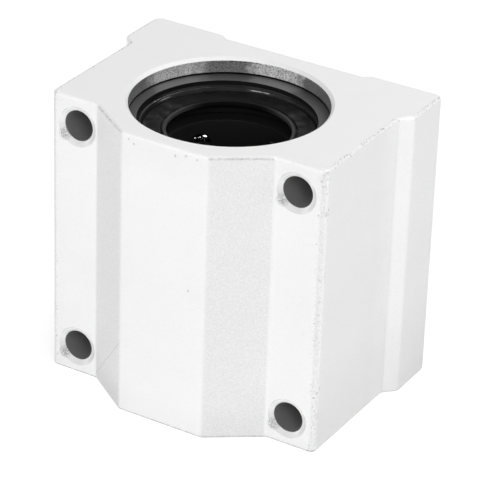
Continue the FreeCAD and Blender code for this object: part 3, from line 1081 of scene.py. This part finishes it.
@dataclass(frozen=True)
class MouldedPolymer:
    """Moulded rubber or resin, with fine grain, thin dust made stronger towards both sides as painted light,
    and paler edges from rubbing; a seal's lip gets a painted highlight and its outer rim a painted shadow.
    """

    name: str
    tint: Colour
    roughness: float
    dust_and_light_tint: Colour = (0.09, 0.09, 0.088)
    dust: float = 0.35
    rub_and_glint: float = 0.4
    specular: float = 0.5
    lip_radius: float = 0.0
    rim_radius: float = 0.0
    lip_highlight: Colour = (0.06, 0.06, 0.06)
    rim_shadow: Colour = (0.001, 0.001, 0.001)

    def material(self) -> Material:
        """Makes the material.

        Returns:
            The material.
        """
        shader = Shader(self.name, self.specular)
        graph = shader.graph
        spot = shader.spot
        sides = spot.effect(side_effect, Low=0.35, High=1.0)["Mask"]
        grain = spot.effect(grain_effect, Depth=0.5, Cloud=0.5)
        dust = spot.effect(dust_effect, Patch=2.5 * MM, Amount=self.dust)["Mask"]
        edges = spot.effect(edge_effect, Radius=0.12 * MM, Break_Up=0.4)
        # Dust is made stronger towards both sides of the ring, as painted light.
        pale = dust * sides.pick(0.12, 1.4) | edges["Mask"] * self.rub_and_glint
        colour = graph.blend(pale, graph.shaded(self.tint, grain["Shade"]), self.dust_and_light_tint)
        # A seal's lip: painted highlight towards both sides, fading out across the bore; its outer rim:
        # near-black painted shadow.
        if self.lip_radius:
            lip_lit = graph.shaded(self.lip_highlight, sides.pick(0.04, 1.0))
            colour = graph.blend(spot.radius < self.lip_radius, colour, lip_lit)
            colour = graph.blend(spot.radius > self.rim_radius, colour, self.rim_shadow)
        shader.set(Base_Color=colour, Roughness=dust.ramp(0.0, 0.5, self.roughness, self.roughness + 0.25))
        shader.bump(grain["Height"], 0.01 * MM, edges["Normal"])
        return shader.material


@dataclass(frozen=True)
class PolishedBall:
    """Polished bearing steel under a thin uneven film of oil."""

    name: str = "polished_ball"
    tint: Colour = (0.72, 0.72, 0.73)
    roughness: float = 0.06

    def material(self) -> Material:
        """Makes the material.

        Returns:
            The material.
        """
        shader = Shader(self.name)
        grain = shader.spot.effect(grain_effect, Depth=0.1, Cloud=0.25)["Shade"]
        film = shader.spot.effect(dust_effect, Patch=0.8 * MM, Amount=0.25)["Mask"]
        roughness = film.ramp(0.0, 0.3, self.roughness, self.roughness + 0.24)
        shader.set(Base_Color=shader.graph.shaded(self.tint, grain), Roughness=roughness, Metallic=1.0)
        return shader.material


def add_object(name: str, data: bpy.types.ID) -> Object:
    """Makes an object and links it into the scene.

    Args:
        name: The object's name.
        data: Its mesh, lamp or camera.

    Returns:
        The object.
    """
    made = bpy.data.objects.new(name, data)
    bpy.context.scene.collection.objects.link(made)
    return made


def add_mesh(name: str, mesh: bmesh.types.BMesh, material: Material) -> Object:
    """Turns a mesh in progress into an object of one material.

    Args:
        name: The object's name.
        mesh: The mesh, which is freed.
        material: The material.

    Returns:
        The object.
    """
    data = bpy.data.meshes.new(name)
    mesh.to_mesh(data)
    mesh.free()
    data.materials.append(material)
    return add_object(name, data)


def dress(nodes: Nodes, names: Iterable[str], material: Material) -> None:
    """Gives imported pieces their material.

    Args:
        nodes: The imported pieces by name.
        names: The pieces to dress.
        material: Their material.
    """
    for name in names:
        slots = nodes[name].data.materials
        slots.clear()
        slots.append(material)
        log.info("%s: dressed in %s", name, material.name)


@dataclass
class Housing:
    """The aluminium housing and the threads in its tapped holes."""

    sizes: BlockSizes
    groove_play: float = 0.2 * MM
    thread_pitch: float = 1.0 * MM
    thread_depth: float = 12.0 * MM
    crest_width: float = 0.2 * MM
    root_width: float = 0.86 * MM
    embed: float = 0.02 * MM
    steps: int = 36
    thinnest: float = 0.02

    def build(self, nodes: Nodes) -> None:
        """Dresses the housing and cuts its threads.

        Args:
            nodes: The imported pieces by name.
        """
        groove_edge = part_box("upper_circlip")[1].z + self.groove_play
        material = BlastedAluminium(self.sizes, groove_edge).material()
        dress(nodes, ["housing"], material)
        half = self.sizes.hole_spacing / 2
        centres = [(x, z) for x in (-half, half) for z in (-half, half)]
        for number, centre in enumerate(centres, start=1):
            piece = add_mesh(f"thread_{number}", self.thread(*centre), material)
            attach(piece, ROOT)
            log.info("%s: %d faces, rides on %s", piece.name, len(piece.data.polygons), ROOT)

    def thread(self, hole_x: float, hole_z: float) -> bmesh.types.BMesh:
        """The helical ridge inside one tapped hole, from the drill's end to the mouth.

        Args:
            hole_x: The hole's place across the block.
            hole_z: The hole's place along the bore.

        Returns:
            The ridge's mesh.
        """
        outer = self.sizes.thread_radius + self.embed
        inner = self.sizes.drill_radius
        section = [
            (outer, -self.root_width / 2), (inner, -self.crest_width / 2),
            (inner, self.crest_width / 2), (outer, self.root_width / 2),
        ]
        low = self.sizes.mount_y - self.thread_depth + self.root_width / 2
        high = self.sizes.mount_y - self.thread_pitch
        count = int((high - low) / self.thread_pitch * self.steps)
        mesh = bmesh.new()
        rings = []
        for index in range(count + 1):
            angle = 2 * math.pi * index / self.steps
            rise = low + self.thread_pitch * index / self.steps
            fade = max(self.thinnest, min(1.0, index / self.steps, (count - index) / self.steps))
            ring = []
            for radius, shift in section:
                reach = outer - (outer - radius) * fade
                x = hole_x + reach * math.cos(angle)
                z = hole_z + reach * math.sin(angle)
                ring.append(mesh.verts.new((x, rise + shift, z)))
            rings.append(ring)
        for before, after in zip(rings, rings[1:]):
            for index in range(len(section)):
                following = (index + 1) % len(section)
                mesh.faces.new((before[index], before[following], after[following], after[index]))
        mesh.faces.new(rings[0])
        mesh.faces.new(list(reversed(rings[-1])))
        bmesh.ops.recalc_face_normals(mesh, faces=mesh.faces)
        return mesh


class RowName(Enum):
    """The three groups that each circuit's balls are packed in."""

    LOADED = "load_row"
    RETURNING = "return_row"
    TURNING = "turn_balls"


@dataclass
class LinearBearing:
    """The ball bearing between its circlips: sleeve, cage, balls, holding rings and seals."""

    sizes: BlockSizes
    circuits: int = 5
    lip_width: float = 0.42 * MM
    seal_rim_width: float = 0.3 * MM
    clip_rim_width: float = 0.08 * MM
    darkened_circuits: tuple[int, ...] = (4, 5)

    def build(self, nodes: Nodes) -> None:
        """Dresses every piece of the bearing.

        Args:
            nodes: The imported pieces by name.
        """
        top = self.sizes.sleeve_end
        # Painted glints and a painted streak on the sleeve's wall just under its end.
        painted_glints = (
            PaintedGlint(top - 0.12 * MM, 0.07 * MM, 145.0, 190.0, 0.35),
            PaintedGlint(top - 0.12 * MM, 0.07 * MM, 161.0, 167.0, 1.0),
            PaintedGlint(top - 0.55 * MM, 0.1 * MM, 164.0, 176.0, 1.0),
            PaintedGlint(top - 0.6 * MM, 0.1 * MM, 92.0, 108.0, 1.0),
            PaintedGlint(top - 0.6 * MM, 0.3 * MM, 45.0, 80.0, 0.3),
        )
        # The sleeve's tint is darker than bare steel, as painted shade inside the bearing.
        sleeve = TurnedSteel("ground_sleeve", (0.24, 0.24, 0.243), 0.3, sheen_gain=1.6, edge_shine=0.0,
                             end_height=top, painted_glints=painted_glints)
        # The holding rings' near-black tint is painted shade inside the bearing.
        ring = TurnedSteel("plain_ring", (0.03, 0.03, 0.03), 0.5)
        clip = ClipSteel("phosphated_clip", (0.072, 0.072, 0.0725), 0.5, marks=0.2, metallic=0.6, grain=0.9,
                         sheen_gain=2.0, face=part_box("upper_circlip")[1].z,
                         rim_radius=self.sizes.seat_radius - self.clip_rim_width)
        cage = MouldedPolymer("cage_resin", (0.012, 0.012, 0.012), 0.5, dust=0.05, rub_and_glint=0.05, specular=0.25)
        seal = MouldedPolymer("seal_rubber", (0.003, 0.003, 0.0031), 0.6, dust=0.75, specular=0.1, rub_and_glint=0.2,
                              lip_radius=self.sizes.shaft_radius + self.lip_width,
                              rim_radius=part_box("upper_seal")[1].x - self.seal_rim_width)
        dress(nodes, ["bearing_sleeve"], sleeve.material())
        dress(nodes, ["ball_cage"], cage.material())
        for name, finish in (("cage_ring", ring), ("circlip", clip), ("seal", seal)):
            dress(nodes, [f"upper_{name}", f"lower_{name}"], finish.material())
        clean = PolishedBall().material()
        # Balls of these circuits are near-black as painted shade, which hides their glints deep in the cage.
        darkened_balls = PolishedBall("darkened_ball", (0.02, 0.02, 0.02), 0.35).material()
        for number in range(1, self.circuits + 1):
            rows = [f"{row.value}_{number}" for row in RowName]
            dress(nodes, rows, darkened_balls if number in self.darkened_circuits else clean)


@dataclass
class Softbox:
    """A square lamp that faces the block."""

    name: str
    azimuth: float
    elevation: float
    side: float
    watts: float
    distance: float = 0.9

    def build(self) -> None:
        """Makes the lamp."""
        data = bpy.data.lights.new(self.name, "AREA")
        data.shape = "SQUARE"
        data.size = self.side
        data.energy = self.watts
        lamp = add_object(self.name, data)
        away = direction(self.azimuth, self.elevation)
        lamp.location = away * self.distance
        lamp.rotation_euler = away.to_track_quat("Z", "Y").to_euler()
        log.info("%s: %.2f W", self.name, self.watts)


def direction(azimuth: float, elevation: float) -> Vector:
    """The unit vector towards a viewpoint; azimuth 0 is at -Y and 90 at +X, both in degrees."""
    turn, lift = math.radians(azimuth), math.radians(elevation)
    return Vector((math.sin(turn) * math.cos(lift), -math.cos(turn) * math.cos(lift), math.sin(lift)))


@dataclass
class Studio:
    """The white sweep that the block stands on, the softboxes and the sky."""

    floor_z: float
    floor_side: float = 6.0
    floor_tint: Colour = (0.86, 0.86, 0.86)
    white: Colour = (1.0, 1.0, 1.0)
    floor_glow: float = 0.5
    sky: float = 0.15
    softboxes: tuple[Softbox, ...] = (
        Softbox("left_softbox", -25.0, 15.0, 0.5, 2.06),
        Softbox("low_softbox", -8.0, 8.0, 0.4, 0.6),
        Softbox("front_softbox", 36.0, 29.0, 0.5, 3.17),
        Softbox("back_softbox", 165.0, 55.0, 0.5, 2.53),
        Softbox("right_softbox", 115.0, 40.0, 0.4, 1.18),
    )

    def build(self) -> None:
        """Makes the floor, the sky and the lamps."""
        self.floor()
        self.world()
        for softbox in self.softboxes:
            softbox.build()

    def seen(self, graph: Graph) -> Signal:
        """The mask of rays from the camera or from a glossy or clear surface, as against light.

        Args:
            graph: The graph that needs it.

        Returns:
            The mask.
        """
        rays = (f"Is {kind} Ray" for kind in ("Camera", "Glossy", "Transmission"))
        camera, glossy, clear = (graph.read("ShaderNodeLightPath", ray, {}) for ray in rays)
        return camera | glossy | clear

    def floor(self) -> None:
        """Makes the floor, which glows white to the eye and keeps the block's shadow."""
        mesh = bmesh.new()
        bmesh.ops.create_grid(mesh, x_segments=1, y_segments=1, size=self.floor_side / 2)
        shader = Shader("white_sweep", specular=0.0)
        glow = self.seen(shader.graph) * self.floor_glow
        shader.set(Base_Color=self.floor_tint, Roughness=1.0)
        shader.set(Emission_Color=self.white, Emission_Strength=glow)
        made = add_mesh("floor", mesh, shader.material)
        made.location.z = self.floor_z
        made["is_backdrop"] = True
        log.info("floor: stage")

    def world(self) -> None:
        """Makes the sky: white to the eye, softer as light."""
        world = bpy.data.worlds.new("sky")
        world.use_nodes = True
        bpy.context.scene.world = world
        graph = Graph(world.node_tree)
        background = world.node_tree.nodes["Background"]
        graph.feed(background.inputs["Color"], self.white)
        graph.feed(background.inputs["Strength"], self.seen(graph).pick(self.sky, 1.0))


@dataclass
class PhotoCamera:
    """The camera at the photograph's viewpoint."""

    azimuth: float = 30.5
    elevation: float = 28.23
    roll: float = 1.9
    distance: float = 453.0 * MM
    side_shift: float = 2.33 * MM
    rise: float = 0.08 * MM
    focal_pixels: float = 2812.5
    picture_pixels: float = 480.0
    sensor_width: float = 36.0

    def build(self) -> None:
        """Makes the camera and sets it as the scene's."""
        data = bpy.data.cameras.new("camera")
        data.sensor_width = self.sensor_width
        data.lens = self.sensor_width * self.focal_pixels / self.picture_pixels
        camera = add_object("camera", data)
        back = direction(self.azimuth, self.elevation)
        turn = math.radians(self.azimuth)
        level = Vector((math.cos(turn), math.sin(turn), 0.0))
        right = Matrix.Rotation(math.radians(self.roll), 3, back) @ level
        up = back.cross(right)
        camera.rotation_euler = Matrix((right, up, back)).transposed().to_euler()
        camera.location = back * self.distance + right * self.side_shift + up * self.rise
        bpy.context.scene.camera = camera
        log.info("camera: lens %.1f mm", data.lens)


def main() -> None:
    """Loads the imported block, dresses it and sets up the studio."""
    logging.basicConfig(level=logging.INFO, format="%(name)s: %(message)s")
    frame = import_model()
    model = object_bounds()
    scene = bpy.context.scene
    scene.view_settings.view_transform = "Standard"
    sizes = BlockSizes.from_frame(frame["record"])
    Housing(sizes).build(frame["nodes"])
    LinearBearing(sizes).build(frame["nodes"])
    Studio(floor_z=model[0].z).build()
    PhotoCamera().build()


if __name__ == "__main__":
    main()
